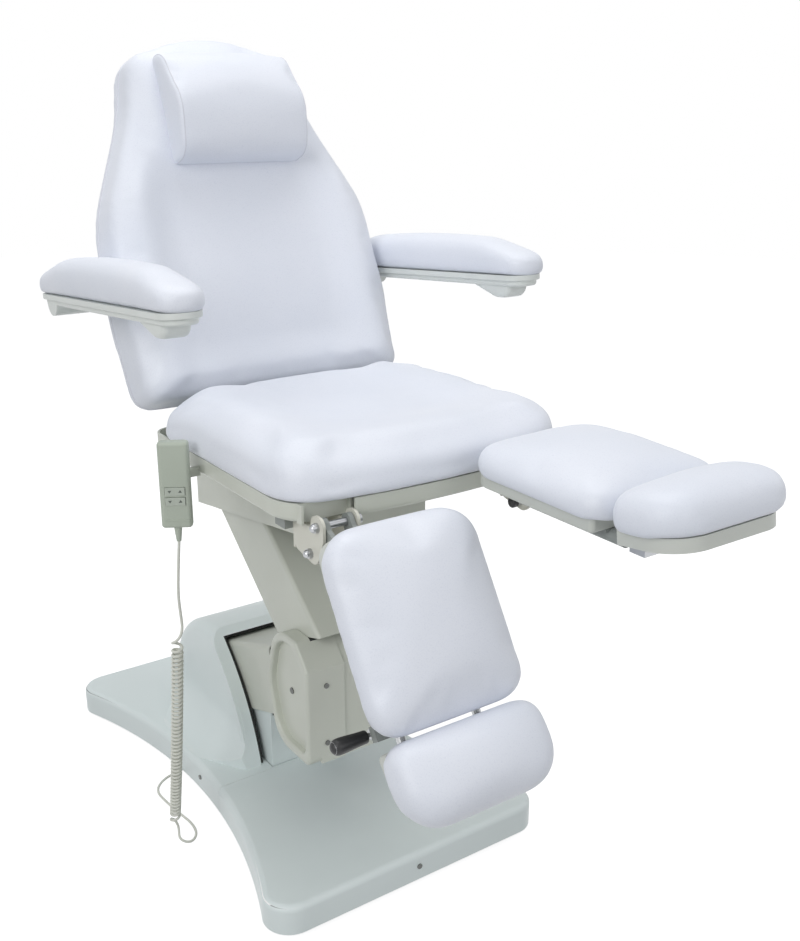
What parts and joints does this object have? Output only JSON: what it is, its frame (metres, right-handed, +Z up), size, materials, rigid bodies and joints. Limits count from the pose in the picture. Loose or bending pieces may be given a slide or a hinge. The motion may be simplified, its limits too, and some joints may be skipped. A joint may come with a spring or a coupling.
{
  "type": "electric massage bed",
  "caption": "Electric massage bed in chair form: folding-arm lift on a flat base, padded seat, reclining back with pillow and armrests, split leg rests and a corded handset.",
  "frame": {"origin": "on the floor, under the middle of the base and of its centre foot", "axes": "+Z up, -Y towards the front where the leg rests are, +X towards the sitter's left"},
  "size_m": [0.736, 1.4675, 1.4695],
  "materials": {
    "upholstery": "satin coated cloth",
    "cover_plastic": "satin",
    "frame_paint": "semi gloss",
    "bracket_paint": "semi gloss",
    "bright_steel": "satin",
    "motor_case": "satin",
    "black_rubber": "matt",
    "black_plastic": "matt",
    "handset_plastic": "matt",
    "handset_keys": "matt",
    "cord_jacket": "satin"
  },
  "bodies": {
    "base": {"base_frame": "frame_paint", "levelling_feet": "black_rubber", "base_cover_front": "cover_plastic", "base_cover_rear": "cover_plastic", "cover_screws": "bright_steel", "pedestal_hood": "cover_plastic", "hood_seal": "black_rubber", "lower_shroud": "cover_plastic", "mains_inlet": "black_plastic", "lift_gearmotor": "motor_case"},
    "lower_arm": {"lower_arm": "frame_paint", "lower_arm_cover": "cover_plastic", "lift_pivot_shaft": "bright_steel", "elbow_lower_shaft": "bright_steel"},
    "lower_tie": {"lower_tie_rod": "frame_paint"},
    "elbow": {"elbow_block": "frame_paint", "elbow_cap_left": "cover_plastic", "elbow_cap_right": "cover_plastic", "elbow_front_panel": "cover_plastic", "elbow_screws": "bright_steel"},
    "upper_arm": {"upper_arm": "frame_paint", "upper_arm_cover": "cover_plastic", "seat_pivot_shaft": "bright_steel", "elbow_upper_shaft": "bright_steel"},
    "upper_tie": {"upper_tie_rod": "frame_paint"},
    "seat": {"seat_frame": "frame_paint", "seat_tub": "cover_plastic", "seat_tray": "cover_plastic", "seat_cushion": "upholstery", "leg_bracket_left": "bracket_paint", "leg_bracket_right": "bracket_paint", "leg_hinge_bolts": "bright_steel", "recline_gearmotor": "motor_case", "handset_body": "handset_plastic", "handset_cord": "cord_jacket", "handset_coil": "cord_jacket"},
    "backrest": {"backrest_frame": "frame_paint", "backrest_shell": "cover_plastic", "backrest_cushion": "upholstery"},
    "pillow": {"pillow": "upholstery"},
    "key_lift": {"handset_key_lift": "handset_keys"},
    "key_back": {"handset_key_back": "handset_keys"},
    "arm_left": {"arm_tray_left": "cover_plastic", "arm_pad_left": "upholstery"},
    "leg_left": {"calf_frame_left": "frame_paint", "calf_tray_left": "cover_plastic", "calf_pad_left": "upholstery"},
    "foot_left": {"foot_slider_left": "bright_steel", "foot_tray_left": "cover_plastic", "foot_pad_left": "upholstery"},
    "lever_left": {"clamp_lever_left": "black_plastic"},
    "arm_right": {"arm_tray_right": "cover_plastic", "arm_pad_right": "upholstery"},
    "leg_right": {"calf_frame_right": "frame_paint", "calf_tray_right": "cover_plastic", "calf_pad_right": "upholstery"},
    "foot_right": {"foot_slider_right": "bright_steel", "foot_tray_right": "cover_plastic", "foot_pad_right": "upholstery"},
    "lever_right": {"clamp_lever_right": "black_plastic"}
  },
  "joints": [
    {"name": "lift", "type": "hinge", "parent": "base", "child": "lower_arm", "pos_m": [0, 0.075, 0.215], "axis": [-1, 0, 0], "range_deg": [-16, 0], "deforming": ["handset_cord", "handset_coil"]},
    {"name": "lower_tie_swing", "type": "hinge", "parent": "base", "child": "lower_tie", "pos_m": [0, 0.075, 0.16], "axis": [-1, 0, 0], "range_deg": [-16, 0]},
    {"name": "elbow_level", "type": "hinge", "parent": "lower_arm", "child": "elbow", "pos_m": [0, -0.23645, 0.32407], "axis": [1, 0, 0], "range_deg": [-16, 0]},
    {"name": "upper_arm_swing", "type": "hinge", "parent": "elbow", "child": "upper_arm", "pos_m": [0, -0.25445, 0.41007], "axis": [1, 0, 0], "range_deg": [-16, 0]},
    {"name": "upper_tie_swing", "type": "hinge", "parent": "elbow", "child": "upper_tie", "pos_m": [0, -0.25445, 0.36507], "axis": [1, 0, 0], "range_deg": [-16, 0]},
    {"name": "seat_level", "type": "hinge", "parent": "upper_arm", "child": "seat", "pos_m": [0, 0.03568, 0.64924], "axis": [-1, 0, 0], "range_deg": [-16, 0]},
    {"name": "back_recline", "type": "hinge", "parent": "seat", "child": "backrest", "pos_m": [0, 0.04203, 0.78329], "axis": [-1, 0, 0], "range_deg": [-5, 60]},
    {"name": "pillow_slide", "type": "slide", "parent": "backrest", "child": "pillow", "axis": [0, -0.3746, -0.9272], "range_m": [0, 0.09]},
    {"name": "arm_right_raise", "type": "hinge", "parent": "backrest", "child": "arm_right", "pos_m": [-0.328, 0.17354, 1.00734], "axis": [-1, 0, 0], "range_deg": [0, 80]},
    {"name": "leg_right_fold", "type": "hinge", "parent": "seat", "child": "leg_right", "pos_m": [-0.168, -0.54432, 0.76824], "axis": [-1, 0, 0], "range_deg": [0, 58]},
    {"name": "foot_right_slide", "type": "slide", "parent": "leg_right", "child": "foot_right", "axis": [0, -0.5299, -0.848], "range_m": [0, 0.1]},
    {"name": "lever_right_turn", "type": "hinge", "parent": "leg_right", "child": "lever_right", "pos_m": [-0.238, -0.69991, 0.5117], "axis": [0, 0.848, -0.5299], "range_deg": [0, 25]},
    {"name": "arm_left_raise", "type": "hinge", "parent": "backrest", "child": "arm_left", "pos_m": [0.328, 0.17354, 1.00734], "axis": [-1, 0, 0], "range_deg": [0, 80]},
    {"name": "leg_left_fold", "type": "hinge", "parent": "seat", "child": "leg_left", "pos_m": [0.168, -0.54432, 0.76824], "axis": [-1, 0, 0], "range_deg": [-58, 0]},
    {"name": "foot_left_slide", "type": "slide", "parent": "leg_left", "child": "foot_left", "axis": [0, -1, 0], "range_m": [0, 0.1]},
    {"name": "lever_left_turn", "type": "hinge", "parent": "leg_left", "child": "lever_left", "pos_m": [0.238, -0.84432, 0.76423], "axis": [0, 0, 1], "range_deg": [0, 25]},
    {"name": "key_back_rock", "type": "hinge", "parent": "seat", "child": "key_back", "pos_m": [-0.3175, -0.23912, 0.73674], "axis": [0, 0, 1], "range_deg": [-4, 4], "stiffness_Nm_per_rad": 0.4},
    {"name": "key_lift_rock", "type": "hinge", "parent": "seat", "child": "key_lift", "pos_m": [-0.3175, -0.23912, 0.75374], "axis": [0, 0, 1], "range_deg": [-4, 4], "stiffness_Nm_per_rad": 0.4}
  ],
  "couplings": [
    {"joint": "lower_tie_swing", "follows": "lift", "ratio": 1},
    {"joint": "elbow_level", "follows": "lift", "ratio": 1},
    {"joint": "upper_arm_swing", "follows": "lift", "ratio": 1},
    {"joint": "upper_tie_swing", "follows": "lift", "ratio": 1},
    {"joint": "seat_level", "follows": "lift", "ratio": 1}
  ]
}
